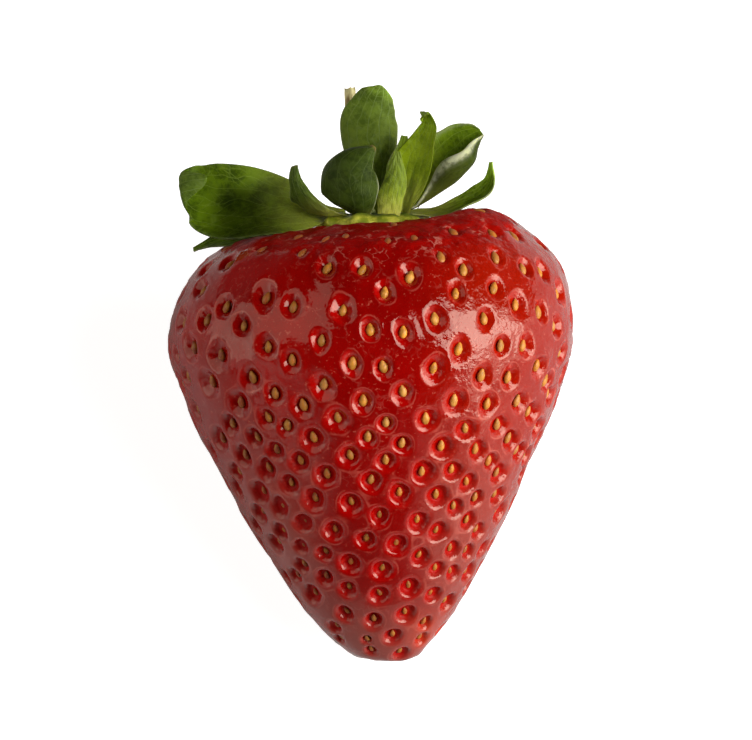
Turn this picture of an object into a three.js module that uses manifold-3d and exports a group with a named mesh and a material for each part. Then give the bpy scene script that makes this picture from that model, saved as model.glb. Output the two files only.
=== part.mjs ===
// A ripe strawberry as picked, lying on its flank: the berry, its calyx of five sepals and five bracts, and the cut stalk.
//
// Millimetres, +Z up. The origin is the centre of the small flat spot on which the berry rests.
// Every piece is drawn in the berry's own frame: the berry's tip is at 0, its axis is +Z towards the calyx, +X is the
// berry's right side and +Y its underside as it lies. The group at the end lays that frame down on the surface.
import * as THREE from "three";
import { mergeVertices } from "three/addons/utils/BufferGeometryUtils.js";
import Module from "manifold-3d";

// ---- Driving dimensions ----------------------------------------------------------------------------------------
const FLANK_SLOPE = 23.5; // degrees between the berry's axis and the surface it lies on
const FLAT_STATION = 21.25; // distance of the flat spot's centre from the tip, along the axis
const FLAT_DEPTH = 15.5; // distance of the flat spot's centre from the axis
const DEPTH_RATIO = 0.92; // the berry is a little narrower from front to back than from side to side
const BERRY_RINGS = 34;
const BERRY_SIDES = 48;

const DISC_CENTRE_X = 0.4; // the calyx grows a little to the right of the berry's axis
const DISC_SIDES = 24;

const LEAF_THICKNESS = 0.5;
const LEAF_STEPS = 14; // sections along a leaf
const LEAF_STRIPS = 6; // strips across a leaf

// ---- Curves and lofts --------------------------------------------------------------------------------------------
const radians = THREE.MathUtils.degToRad;
const vector = ([x, y, z = 0]) => new THREE.Vector3(x, y, z);
const smoothCurve = (points) => new THREE.CatmullRomCurve3(points.map(vector), false, "catmullrom", 0.5);

// A value that runs smoothly through evenly spaced stations, read at u from 0 to 1.
const smoothValue = (values, u) => smoothCurve(values.map((value, i) => [i, value])).getPoint(u).y;

// A closed solid through rings of equal point counts, capped at both ends from the middle of the end ring.
// Seen along the way the rings run, each ring's points go anticlockwise.
function loft(rings) {
  const sides = rings[0].length;
  const points = rings.flat();
  const middle = (ring) => ring.reduce((sum, p) => sum.add(p), new THREE.Vector3()).divideScalar(ring.length);
  const first = points.push(middle(rings[0])) - 1;
  const last = points.push(middle(rings.at(-1))) - 1;
  const faces = [];
  for (let side = 0; side < sides; side++) {
    const next = (side + 1) % sides;
    faces.push(first, next, side);
    for (let ring = 0; ring + 1 < rings.length; ring++) {
      const low = ring * sides;
      const high = low + sides;
      faces.push(low + side, low + next, high + next, low + side, high + next, high + side);
    }
    const top = (rings.length - 1) * sides;
    faces.push(last, top + side, top + next);
  }
  const geometry = new THREE.BufferGeometry().setFromPoints(points);
  geometry.setIndex(faces);
  geometry.computeVertexNormals();
  return geometry;
}

// ---- Berry -------------------------------------------------------------------------------------------------------
// Half of the berry's lengthwise section: radius and height, from the tip round to the hollow under the calyx.
const MERIDIAN = smoothCurve([
  [0, 0],
  [3.4, 0.3],
  [8.9, 6.3],
  [15.4, 17.5],
  [20.4, 28.5],
  [22.3, 36.2],
  [19.6, 44.0],
  [12.0, 47.6],
  [5.2, 47.0],
  [0, 46.7],
]);
// Sideways drift of the section's middle at equal steps from the tip to the shoulders: a berry never grows quite straight.
const DRIFT = [1.7, 0.5, -0.3, -0.1, 1.2];
const DRIFT_SPAN = 48;
// Swellings of the shoulders round the calyx: compass angle in degrees from +X towards +Y, and lift.
const SHOULDER_LOBES = [
  [-33, 2.0],
  [-92, 0.2],
  [-150, -0.6],
  [150, -0.5],
  [100, 0.6],
  [42, 1.6],
];
const LOBE_SHARPNESS = 7;
const LOBE_RADIUS = 12; // the lobes are highest this far from the axis
const LOBE_SPREAD = 4.5;
const LOBE_FOOT = 38; // the lobes fade in between these two heights
const LOBE_CREST = 48;
const FLAT_CUTTER = 60; // side of the block that cuts the flat spot

function berryPoint(along, compass) {
  const section = MERIDIAN.getPoint(along);
  const lift = SHOULDER_LOBES.reduce(
    (sum, [at, height]) => sum + height * Math.exp(LOBE_SHARPNESS * (Math.cos(compass - radians(at)) - 1)),
    0,
  );
  const nearTop = THREE.MathUtils.smoothstep(section.y, LOBE_FOOT, LOBE_CREST);
  const onLobe = nearTop * Math.exp(-(((section.x - LOBE_RADIUS) / LOBE_SPREAD) ** 2));
  const drift = smoothValue(DRIFT, THREE.MathUtils.clamp(section.y / DRIFT_SPAN, 0, 1));
  return new THREE.Vector3(
    drift + section.x * Math.cos(compass),
    DEPTH_RATIO * section.x * Math.sin(compass),
    section.y + lift * onLobe,
  );
}

// The point where the flat spot touches the surface, in the berry's frame.
const restPoint = new THREE.Vector3(0, FLAT_DEPTH, FLAT_STATION);
const layDown = new THREE.Quaternion().setFromAxisAngle(new THREE.Vector3(1, 0, 0), radians(FLANK_SLOPE - 90));

async function berryGeometry() {
  const rings = [];
  for (let ring = 1; ring < BERRY_RINGS; ring++) {
    const points = [];
    for (let side = 0; side < BERRY_SIDES; side++)
      points.push(berryPoint(ring / BERRY_RINGS, (2 * Math.PI * side) / BERRY_SIDES));
    rings.push(points);
  }
  const whole = loft(rings);
  const cutter = new THREE.BoxGeometry(FLAT_CUTTER, FLAT_CUTTER, FLAT_CUTTER)
    .translate(0, 0, -FLAT_CUTTER / 2)
    .applyQuaternion(layDown.clone().invert())
    .translate(...restPoint.toArray());
  return subtract(whole, cutter);
}

// The first geometry less the second, both closed.
async function subtract(kept, removed) {
  const wasm = await Module();
  wasm.setup();
  const solid = (geometry) => {
    const bare = new THREE.BufferGeometry().setAttribute("position", geometry.getAttribute("position"));
    bare.setIndex(geometry.index);
    const merged = mergeVertices(bare);
    return new wasm.Manifold(
      new wasm.Mesh({
        numProp: 3,
        vertProperties: merged.attributes.position.array,
        triVerts: new Uint32Array(merged.index.array),
      }),
    );
  };
  const cut = solid(kept).subtract(solid(removed)).getMesh();
  const geometry = new THREE.BufferGeometry();
  geometry.setAttribute("position", new THREE.BufferAttribute(cut.vertProperties, 3));
  geometry.setIndex(new THREE.BufferAttribute(cut.triVerts, 1));
  geometry.computeVertexNormals();
  return geometry;
}

// ---- Calyx disc and stalk ----------------------------------------------------------------------------------------
// Half of the disc's section, from the middle of its underside over the rim to the middle of its top.
const DISC_OUTLINE = [
  [0, 47.3],
  [3.0, 47.4],
  [5.0, 47.7],
  [5.3, 47.9],
  [4.9, 48.1],
  [3.4, 48.45],
  [0, 48.6],
];

function discGeometry() {
  const outline = DISC_OUTLINE.map(([radius, height]) => new THREE.Vector2(radius, height));
  return new THREE.LatheGeometry(outline, DISC_SIDES).rotateX(Math.PI / 2).translate(DISC_CENTRE_X, 0, 0);
}

const STALK = {
  route: [
    [-0.2, 0.6, 49.5],
    [-0.9, 1.9, 50.6],
    [-1.8, 3.6, 52.6],
    [-2.2, 5.0, 56.5],
    [-2.3, 5.9, 60.2],
    [-2.3, 6.4, 63.7],
  ],
  radius: [0.9, 0.75, 0.7, 0.7, 0.65, 0.6],
  steps: 14,
  sides: 10,
};

function stalkGeometry() {
  const route = smoothCurve(STALK.route);
  const across = new THREE.Vector3(1, 0, 0);
  const rings = [];
  for (let step = 0; step <= STALK.steps; step++) {
    const u = step / STALK.steps;
    const heading = route.getTangent(u);
    const side = across.clone().addScaledVector(heading, -across.dot(heading)).normalize();
    const back = heading.clone().cross(side);
    const radius = smoothValue(STALK.radius, u);
    const points = [];
    for (let k = 0; k < STALK.sides; k++) {
      const turn = (2 * Math.PI * k) / STALK.sides;
      points.push(
        route
          .getPoint(u)
          .addScaledVector(side, radius * Math.cos(turn))
          .addScaledVector(back, radius * Math.sin(turn)),
      );
    }
    rings.push(points);
  }
  return loft(rings);
}

// ---- Leaves ------------------------------------------------------------------------------------------------------
// A leaf is a thin blade along its midrib. At even stations from its base to its tip it has: the midrib's route, the
// way its upper face looks, the widths of its left and right halves (seen from above with the base nearest), and the
// degrees through which a half curls up between midrib and margin.
const LEAVES = {
  sepal_left: {
    route: [
      [-4.6, -0.4, 49.2],
      [-8.5, -2.2, 49.9],
      [-13.0, -3.5, 50.45],
      [-17.3, -3.6, 50.5],
      [-20.0, -3.5, 50.8],
      [-20.6, -5.2, 51.4],
      [-18.4, -6.2, 52.0],
    ],
    face: [
      [0.1, -0.6, 0.85],
      [0.05, -0.85, 0.5],
      [0.05, -0.9, 0.45],
      [0.15, -0.9, 0.4],
      [0.6, -0.7, 0.3],
      [1.0, 0.1, 0.1],
      [0.1, 1.0, -0.1],
    ],
    left: [1.4, 3.2, 4.6, 5.1, 4.2, 2.4, 0.4],
    right: [1.3, 2.9, 3.9, 4.2, 3.6, 2.3, 0.4],
    curl: [20, 35, 40, 40, 35, 30],
  },
  sepal_front_cupped: {
    route: [
      [-1.1, -4.1, 48.8],
      [-1.8, -6.6, 50.4],
      [-2.1, -7.9, 52.8],
      [-1.3, -7.9, 54.9],
      [0.4, -6.7, 56.3],
    ],
    face: [
      [0.1, 0.3, 1],
      [0.1, 0.9, 0.6],
      [0.15, 1, 0.1],
      [0.1, 1, -0.3],
      [-0.3, 0.9, -0.8],
    ],
    left: [1.1, 2.6, 3.0, 2.2, 0.4],
    right: [1.4, 3.5, 4.8, 3.8, 0.4],
    curl: [30, 60, 75, 75, 60],
  },
  sepal_centre_hooked: {
    route: [
      [3.7, -2.7, 48.9],
      [4.4, -2.9, 51.5],
      [5.4, -3.2, 54.6],
      [6.4, -3.3, 57.6],
      [6.9, -3.5, 59.3],
      [6.3, -4.4, 60.1],
      [5.6, -4.7, 59.2],
    ],
    face: [
      [-0.6, -0.4, 0.2],
      [-0.6, -0.7, 0.2],
      [-0.5, -0.85, 0.2],
      [-0.6, -0.75, 0.1],
      [-0.9, -0.4, -0.3],
      [-0.3, -0.1, -1],
      [0.9, 0, -0.4],
    ],
    left: [1.0, 2.0, 2.2, 1.0, 0.7, 0.6, 0.3],
    right: [1.0, 2.0, 2.4, 1.6, 1.0, 0.8, 0.3],
    curl: [40, 50, 50, 45, 40, 30],
  },
  sepal_right_folded: {
    route: [
      [4.9, 1.2, 50.1],
      [6.8, 0.9, 52.3],
      [9.0, 0.4, 54.2],
      [10.7, 0.3, 56.3],
      [11.4, 0.2, 58.2],
      [11.3, 0.0, 59.4],
    ],
    face: [
      [-0.1, -0.6, 0.7],
      [-0.2, -0.9, 0.3],
      [-0.2, -0.95, 0.2],
      [-0.25, -0.95, 0.1],
      [-0.3, -0.95, 0],
      [-0.3, -0.9, -0.2],
    ],
    left: [0.9, 2.4, 3.5, 3.8, 3.0, 0.9],
    right: [0.9, 3.2, 5.4, 5.2, 3.6, 0.6],
    curl: [35, 35, 30, 30, 30, 30],
    curlRight: [50, 120, 150, 155, 140, 60],
  },
  sepal_back_tall: {
    route: [
      [1.4, 2.8, 49.0],
      [0.7, 2.8, 52.5],
      [0.1, 3.0, 56.2],
      [-0.2, 3.2, 59.6],
      [0.4, 3.4, 62.4],
      [1.7, 4.3, 63.8],
    ],
    face: [
      [0, -1, 0.1],
      [0, -1, 0],
      [0, -1, 0],
      [0.05, -1, 0.1],
      [0.1, -0.9, 0.5],
      [0.2, -0.5, 1],
    ],
    left: [0.9, 1.2, 3.0, 3.4, 1.6, 0.4],
    right: [0.9, 1.7, 3.0, 3.4, 1.7, 0.4],
    curl: [30, 30, 28, 25, 25, 20],
  },
  bract_left_low: {
    route: [
      [-4.1, 2.9, 48.7],
      [-8.0, 2.9, 48.6],
      [-12.5, 2.0, 48.0],
      [-16.5, 0.5, 46.7],
      [-19.6, -0.6, 45.3],
    ],
    face: [
      [0, -0.2, 1],
      [0, -0.3, 1],
      [-0.1, -0.4, 1],
      [-0.3, -0.5, 1],
      [-0.4, -0.5, 1],
    ],
    left: [1.1, 1.9, 2.2, 1.6, 0.3],
    right: [1.1, 1.8, 2.0, 1.3, 0.3],
    curl: [15, 20],
  },
  bract_left_upright: {
    route: [
      [-3.9, -3.7, 48.8],
      [-5.7, -4.8, 49.2],
      [-7.1, -5.6, 50.8],
      [-8.0, -5.7, 52.6],
      [-8.3, -5.2, 54.3],
    ],
    face: [
      [0.2, 0.2, 1],
      [0.5, 0.5, 0.7],
      [0.6, 0.8, 0.3],
      [0.4, 0.9, 0],
      [0.4, 0.9, -0.3],
    ],
    left: [0.9, 1.5, 1.6, 0.9, 0.4],
    right: [0.9, 2.3, 2.6, 1.5, 0.4],
    curl: [30, 40, 45, 45, 40],
  },
  bract_centre_front: {
    route: [
      [1.9, -4.4, 48.6],
      [2.4, -4.6, 50.6],
      [2.8, -4.4, 53.0],
      [2.9, -4.0, 55.9],
    ],
    face: [
      [0.1, 1, 0.1],
      [0, 1, 0],
      [0, 1, 0],
      [0, 1, -0.1],
    ],
    left: [0.9, 1.1, 1.3, 0.35],
    right: [0.9, 1.2, 1.6, 0.35],
    curl: [40, 45, 45, 30],
  },
  bract_right: {
    route: [
      [5.0, -1.2, 49.4],
      [7.2, -1.5, 49.75],
      [9.8, -1.7, 50.45],
      [12.3, -1.6, 51.9],
      [13.4, -1.5, 54.9],
    ],
    face: [
      [0, -0.3, 1],
      [0, -0.6, 1],
      [-0.2, -0.7, 0.8],
      [-0.5, -0.8, 0.3],
      [-0.7, -0.7, 0.1],
    ],
    left: [0.8, 1.1, 1.6, 1.2, 0.3],
    right: [1.0, 1.5, 1.8, 1.3, 0.3],
    curl: [20, 30, 40, 35, 30],
  },
  bract_centre_back: {
    route: [
      [2.7, 1.1, 49.2],
      [2.9, 1.1, 51.5],
      [3.4, 1.4, 54.8],
      [3.8, 1.3, 58.0],
    ],
    face: [
      [0, -1, 0.1],
      [0, -1, 0.1],
      [0, -1, 0],
      [0, -1, 0],
    ],
    left: [0.7, 1.2, 1.5, 0.3],
    right: [0.7, 1.2, 1.5, 0.3],
    curl: [30, 35],
  },
};

function leafGeometry({ route, face, left, right, curl, curlRight = curl }) {
  const midrib = smoothCurve(route);
  const facing = smoothCurve(face);
  const rings = [];
  for (let step = 0; step <= LEAF_STEPS; step++) {
    const u = step / LEAF_STEPS;
    const heading = midrib.getTangent(u);
    const up = facing.getPoint(u);
    up.addScaledVector(heading, -up.dot(heading)).normalize();
    const side = heading.clone().cross(up);
    const upper = [];
    const lower = [];
    for (let strip = 0; strip <= LEAF_STRIPS; strip++) {
      const across = (2 * strip) / LEAF_STRIPS - 1;
      const width = smoothValue(across > 0 ? right : left, u);
      const bend = radians(smoothValue(across > 0 ? curlRight : curl, u));
      const skin = midrib
        .getPoint(u)
        .addScaledVector(side, (width * Math.sin(bend * across)) / bend)
        .addScaledVector(up, (width * (1 - Math.cos(bend * across))) / bend);
      const outward = up
        .clone()
        .multiplyScalar(Math.cos(bend * across))
        .addScaledVector(side, -Math.sin(bend * across));
      upper.push(skin.clone().addScaledVector(outward, LEAF_THICKNESS / 2));
      lower.push(skin.clone().addScaledVector(outward, -LEAF_THICKNESS / 2));
    }
    rings.push([...upper, ...lower.reverse()]);
  }
  return loft(rings);
}

// ---- Materials and assembly --------------------------------------------------------------------------------------
const finish = (color, roughness) => new THREE.MeshStandardMaterial({ color, roughness, metalness: 0 });
const redSkin = finish(0xa80b0b, 0.25);
const leafGreen = finish(0x3f5a12, 0.55);
const bractGreen = finish(0x5c7318, 0.55);
const calyxGreen = finish(0x8a9440, 0.6);
const stalkGreen = finish(0x8f9a5a, 0.7);

const lying = new THREE.Group();
lying.quaternion.copy(layDown);
lying.position.copy(restPoint).applyQuaternion(layDown).negate();

function addPiece(name, geometry, material) {
  const piece = new THREE.Mesh(geometry, material);
  piece.name = name;
  lying.add(piece);
}

addPiece("berry_flesh", await berryGeometry(), redSkin);
addPiece("calyx_disc", discGeometry(), calyxGreen);
addPiece("stalk", stalkGeometry(), stalkGreen);
for (const [name, shape] of Object.entries(LEAVES))
  addPiece(name, leafGeometry(shape), name.startsWith("sepal") ? leafGreen : bractGreen);

const strawberry = new THREE.Group();
strawberry.add(lying);
export default strawberry;
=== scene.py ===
"""A ripe strawberry lying on its flank: pitted skin, seeds, leafy calyx and cut stalk, in soft light."""

import math
import random

import bmesh
import bpy
import numpy as np
from mathutils import Matrix, Vector, kdtree, noise


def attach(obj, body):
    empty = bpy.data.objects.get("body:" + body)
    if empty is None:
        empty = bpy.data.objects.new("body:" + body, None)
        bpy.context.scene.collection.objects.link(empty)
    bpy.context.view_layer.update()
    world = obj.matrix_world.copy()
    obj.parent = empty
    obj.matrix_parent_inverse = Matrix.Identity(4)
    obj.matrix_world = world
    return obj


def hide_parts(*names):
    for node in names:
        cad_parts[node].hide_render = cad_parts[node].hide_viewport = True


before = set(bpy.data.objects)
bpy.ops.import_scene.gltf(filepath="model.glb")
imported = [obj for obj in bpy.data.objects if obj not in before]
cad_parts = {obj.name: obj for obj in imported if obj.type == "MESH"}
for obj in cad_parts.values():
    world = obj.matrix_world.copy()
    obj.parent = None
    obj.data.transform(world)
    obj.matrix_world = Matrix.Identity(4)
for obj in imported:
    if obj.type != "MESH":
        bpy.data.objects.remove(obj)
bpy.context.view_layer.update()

# ---- Driving dimensions -----------------------------------------------------------------
# In millimetres, in the berry's own frame: its tip is at 0, its axis is +Z towards the calyx, +X is its
# right side and +Y its underside as it lies. Compass angles run round the axis, from +X towards +Y.
MM = 0.001
FLANK_SLOPE = 23.5  # degrees between the berry's axis and the surface it lies on
FLAT_STATION = 21.25  # how far along the axis the middle of the flat spot is
FLAT_DEPTH = 15.5  # and how far below the axis
FLAT_ROUNDING = 0.12  # how softly the skin turns into the flat spot
DEPTH_RATIO = 0.91  # the berry's thickness as a share of its width

# The outline from the tip to the calyx: radius and height.
MERIDIAN = [(0, 0), (3.8, 0.3), (9.1, 6.3), (15.5, 17.5), (20.6, 28.5), (22.5, 36.2), (19.6, 44.0),
            (12.2, 47.6), (5.2, 47.0), (0, 46.7)]
DRIFT = [1.5, 0.7, 0.1, 0.05, 1.9]  # how far the outline's middle is to the right, at even heights
DRIFT_SPAN = 48  # the last of those heights
# The shoulders rise and sink in lobes: the compass angle of each in degrees, and how far it rises.
SHOULDER_LOBES = [(-33, 1.7), (-92, 0.2), (-150, -0.6), (150, -0.5), (100, 0.6), (42, 1.4), (2, 0.8)]
LOBE_SHARPNESS = 7  # how soon a lobe fades round the compass
LOBE_RADIUS = 12  # how far from the axis a lobe is fullest
LOBE_SPREAD = 5.0  # how soon it fades from there
LOBE_HEIGHTS = (38, 48)  # where on the skin the lobes begin, and where they are full

GOLDEN_TURN = math.radians(137.508)
TIGHT_SPACING = 3.1  # between seeds near the tip
WIDE_SPACING = 4.3  # between seeds on the shoulders
SPACING_HEIGHTS = (20, 36)  # where the spacing grows from the one to the other
CELL_SHARE = 0.866  # a seed's own area in a close pattern, as a share of its spacing squared
STRAY = 0.09  # how far a seed strays from its place in the pattern, as a share of its spacing
SEED_LENGTH = 1.5
SEED_WIDTH = 1.0
SEED_HEIGHT = 0.7
# The places of the seeds on the upper flank, looking straight down on it: x across, z along the axis.
FLANK_SEEDS = [
    (-8.8, 39.0), (-11.8, 40.1), (-14.3, 36.9), (-16.3, 39.1), (-18.5, 37.6), (-21.0, 37.4),
    (-20.0, 34.4), (-16.9, 33.4), (-11.6, 34.4), (-8.8, 32.9), (-5.6, 35.2), (-13.4, 31.0), (-17.9, 30.4),
    (-20.6, 31.1), (-21.6, 33.6), (-10.8, 29.2), (-5.3, 30.1), (-3.2, 38.7), (-4.9, 43.5), (-7.6, 45.1),
    (-12.1, 45.4), (-15.9, 43.9), (-18.4, 43.0), (-18.9, 40.9), (-4.9, 46.6), (-2.8, 46.9), (-1.0, 43.3),
    (1.6, 40.7), (4.5, 42.5), (-0.1, 36.5), (3.7, 36.1), (7.2, 37.7), (9.7, 40.5), (10.0, 34.1),
    (7.2, 32.0), (1.5, 32.1), (-2.1, 32.5), (3.7, 29.4), (-0.9, 28.4), (7.8, 44.7), (1.9, 46.3),
    (4.8, 46.7), (9.2, 47.4), (10.5, 43.3), (13.9, 41.1), (12.8, 37.7), (16.4, 39.3), (17.3, 34.5),
    (14.7, 34.6), (19.0, 38.4), (20.7, 36.8), (21.3, 33.8), (18.9, 32.2), (12.5, 31.2), (15.5, 31.0),
    (19.8, 30.6), (14.0, 44.6), (17.2, 43.4), (19.2, 43.0), (13.6, 47.2), (16.0, 47.0), (21.1, 40.5),
    (19.0, 45.9), (20.0, 29.1), (-14.7, 28.2), (-15.7, 25.8), (-11.6, 26.5), (-9.4, 25.6), (-7.7, 27.9),
    (-12.9, 24.3), (-16.9, 24.1), (-6.5, 24.2), (-3.7, 26.5), (-0.4, 24.3), (-10.6, 22.9), (-14.3, 22.3),
    (-15.0, 20.4), (-11.6, 20.8), (-8.0, 21.7), (-5.0, 20.1), (-2.4, 22.2), (0.0, 19.4), (-9.1, 19.2),
    (-12.3, 18.3), (-14.9, 18.7), (-6.4, 17.4), (-2.2, 17.0), (-10.0, 16.6), (-12.4, 16.0), (-7.5, 15.0),
    (-4.1, 13.9), (-10.0, 14.0), (-12.8, 14.6), (-10.6, 12.6), (-0.5, 13.0), (1.7, 25.9), (6.2, 26.3),
    (9.5, 28.4), (13.2, 28.0), (16.7, 28.3), (18.0, 27.1), (3.6, 23.6), (8.0, 23.3), (10.8, 25.2),
    (14.4, 25.7), (15.7, 24.1), (16.7, 22.8), (11.9, 22.9), (13.4, 21.6), (14.4, 20.3), (1.7, 21.7),
    (5.9, 20.4), (9.3, 20.7), (10.9, 19.3), (3.3, 18.1), (7.5, 17.8), (9.5, 16.6), (11.9, 17.6),
    (14.3, 17.9), (1.0, 15.6), (5.4, 15.1), (11.0, 15.0), (12.1, 14.0), (7.6, 13.8), (18.7, 25.5),
    (14.4, 16.0), (-7.7, 12.3), (-5.2, 11.5), (3.0, 12.5), (9.1, 11.9), (10.9, 11.7), (12.5, 12.0),
    (5.6, 11.0), (7.4, 9.7), (9.2, 9.3), (11.0, 9.4), (-7.7, 10.1), (-8.5, 8.9), (-2.4, 10.3), (1.3, 9.7),
    (-5.2, 8.8), (4.4, 7.8), (7.0, 6.9), (-2.5, 7.5), (1.0, 6.9), (-6.6, 6.8), (-2.9, 4.7), (4.0, 4.8),
    (0.3, 3.9), (8.7, 6.1), (-4.0, 3.4), (6.2, 3.6), (2.5, 2.1), (-0.5, 1.8), (-3.5, 2.0), (5.8, 1.9),
    (0.0, 0.6), (3.4, 0.3)]

CAMERA_DISTANCE = 400.0
VIEW_WIDTH = 83.5  # how much the camera takes in from side to side, at the berry's axis
VIEW_CENTRE = (0.6, 0, 31.9)

rng = random.Random(7)


# ---- Curves and placing -----------------------------------------------------------------
def smooth_run(stations, u):
    """Points on the smooth curve through evenly spaced stations, read at u from 0 to 1."""
    stations = np.asarray(stations, float)
    flat = stations.ndim == 1
    if flat:
        stations = stations[:, None]
    ends = [2 * stations[0] - stations[1], 2 * stations[-1] - stations[-2]]
    padded = np.vstack([ends[:1], stations, ends[1:]])
    along = np.clip(u, 0, 1) * (len(stations) - 1)
    first = np.minimum(along.astype(int), len(stations) - 2)
    t = (along - first)[..., None]
    before, start, end, after = (padded[first + k] for k in range(4))
    leave, arrive = (end - before) / 2, (after - start) / 2
    run = ((2 * t**3 - 3 * t**2 + 1) * start + (t**3 - 2 * t**2 + t) * leave
           + (3 * t**2 - 2 * t**3) * end + (t**3 - t**2) * arrive)
    return run[..., 0] if flat else run


def smoothstep(value, low, high):
    """0 below low and 1 above high, with a soft change between them."""
    t = np.clip((value - low) / (high - low), 0, 1)
    return t * t * (3 - 2 * t)


def bell(value, middle, spread):
    """1 at the middle, fading out evenly on both sides of it."""
    return np.exp(-(((value - middle) / spread) ** 2))


def unit(vectors):
    return vectors / np.maximum(np.linalg.norm(vectors, axis=-1, keepdims=True), 1e-12)


LAY_DOWN = np.array(Matrix.Rotation(math.radians(FLANK_SLOPE - 90), 3, "X"))
REST_POINT = LAY_DOWN @ np.array([0, FLAT_DEPTH, FLAT_STATION])


def laid(points):
    """Points of the berry's frame, in millimetres, as points of the part's frame, in metres."""
    return (np.asarray(points, float) @ LAY_DOWN.T - REST_POINT) * MM


# ---- The berry's surface ----------------------------------------------------------------
# Directions on a unit sphere stand for places on the skin: the sphere's south pole is the berry's tip.
EVEN = np.linspace(0.0005, 0.9995, 4000)
SECTION = smooth_run(MERIDIAN, EVEN)
STEP = np.linalg.norm(np.diff(SECTION, axis=0), axis=1)
ARC = np.concatenate([[0], np.cumsum(STEP)])
PROBE = 0.004  # how far to each side of a place, on the unit sphere, the skin's slope is measured


def matching_polar():
    """The sphere's polar angle for each point of SECTION, such that small shapes aren't stretched."""
    middle = (SECTION[1:, 0] + SECTION[:-1, 0]) / 2
    stretch = np.concatenate([[0], np.cumsum(STEP / middle)])
    widest = stretch[np.argmax(SECTION[:, 0])]
    return 2 * np.arctan(np.exp(stretch - widest))


POLAR = matching_polar()


def polar_angle(direction):
    return np.arccos(np.clip(-direction[..., 2], -1, 1))


def sphere_direction(polar, compass):
    across = np.sin(polar)
    return np.stack([across * np.cos(compass), across * np.sin(compass), -np.cos(polar)], axis=-1)


def sphere_tangents(direction):
    """Unit tangents of the sphere, towards its north pole and along the compass."""
    east = unit(np.stack([-direction[..., 1], direction[..., 0], 0 * direction[..., 0]], axis=-1))
    return np.cross(direction, east), east


def berry_point(along, compass):
    section = smooth_run(MERIDIAN, along)
    radius, height = section[..., 0], section[..., 1]
    rise = sum(most * np.exp(LOBE_SHARPNESS * (np.cos(compass - math.radians(at)) - 1))
               for at, most in SHOULDER_LOBES)
    on_lobe = smoothstep(height, *LOBE_HEIGHTS) * bell(radius, LOBE_RADIUS, LOBE_SPREAD)
    drift = smooth_run(DRIFT, np.clip(height / DRIFT_SPAN, 0, 1))
    return np.stack([drift + radius * np.cos(compass), DEPTH_RATIO * radius * np.sin(compass),
                     height + rise * on_lobe], axis=-1)


def skin_place(direction):
    along = np.interp(polar_angle(direction), POLAR, EVEN)
    return berry_point(along, np.arctan2(direction[..., 1], direction[..., 0]))


def skin_frame(direction):
    """Place, outward normal, and unit tangents towards the calyx and along the compass."""
    north, east = sphere_tangents(direction)
    up = skin_place(unit(direction + PROBE * north)) - skin_place(unit(direction - PROBE * north))
    over = skin_place(unit(direction + PROBE * east)) - skin_place(unit(direction - PROBE * east))
    return skin_place(direction), unit(np.cross(over, up)), unit(up), unit(over)


# ---- Seed sites -------------------------------------------------------------------------
LIST_EDGE = 0.26  # spiral seeds take over where the skin faces the camera less squarely than this,
LIST_GAP = 0.8  # unless a listed seed is nearer than this share of their spacing
LISTED_SPACING = 3.0
ROOM_LIMITS = (2.0, 4.6)  # the least and the most room that a seed's pit is given
EASING_ROUNDS = 10
EASED_GAP = 0.88  # how close seeds may stand before they push, as a share of their spacing
EASING_PUSH = 0.35  # how far they push in each round, as a share of what is missing


def spiral_sites():
    """Directions and spacings of seeds all over the berry: a golden-turn spiral, wider towards the top."""
    radius, height = SECTION.T
    spacing = TIGHT_SPACING + (WIDE_SPACING - TIGHT_SPACING) * smoothstep(height, *SPACING_HEIGHTS)
    per_length = 2 * math.pi * radius / (CELL_SHARE * spacing**2)
    count = np.concatenate([[0], np.cumsum((per_length[1:] + per_length[:-1]) / 2 * STEP)])
    number = np.arange(int(count[-1])) + 0.5
    arc = np.interp(number, count, ARC)
    own_spacing = np.interp(arc, ARC, spacing)
    own_radius = np.interp(arc, ARC, radius)
    arc += np.array([rng.gauss(0, STRAY) for _ in number]) * own_spacing
    turn = np.array([rng.gauss(0, STRAY) for _ in number]) * own_spacing / np.maximum(own_radius, 2)
    polar = np.interp(np.clip(arc, 0.3, ARC[-1] - 0.3), ARC, POLAR)
    return sphere_direction(polar, number * GOLDEN_TURN + turn), own_spacing


def seen_on_flank(direction):
    """How squarely the skin faces the camera, and where it is seen, as x and z in the plane of the axis."""
    place, normal, _, _ = skin_frame(direction)
    centre = np.array(VIEW_CENTRE)
    towards = centre + np.array([0, -CAMERA_DISTANCE, 0]) - place
    facing = (normal * unit(towards)).sum(-1)
    shrink = -CAMERA_DISTANCE / towards[:, 1:2]
    return facing, (centre + (place - centre) * shrink)[:, [0, 2]]


def flank_sites():
    """Directions of the seeds listed in FLANK_SEEDS, picked from a fine grid over the upper half."""
    polar, compass = np.meshgrid(np.linspace(0.01, 3.12, 520), np.linspace(-math.pi - 0.1, 0.1, 420))
    direction = sphere_direction(polar.ravel(), compass.ravel())
    facing, seen = seen_on_flank(direction)
    direction, seen = direction[facing > 0.05], seen[facing > 0.05]
    return np.array([direction[((seen - spot) ** 2).sum(1).argmin()] for spot in np.array(FLANK_SEEDS)])


def gaps_between(place):
    """The way from each site to each other one, and its length. A site is kept far from itself."""
    gap = place[None] - place[:, None]
    return gap, np.linalg.norm(gap, axis=-1) + 99 * np.eye(len(place))


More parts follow.
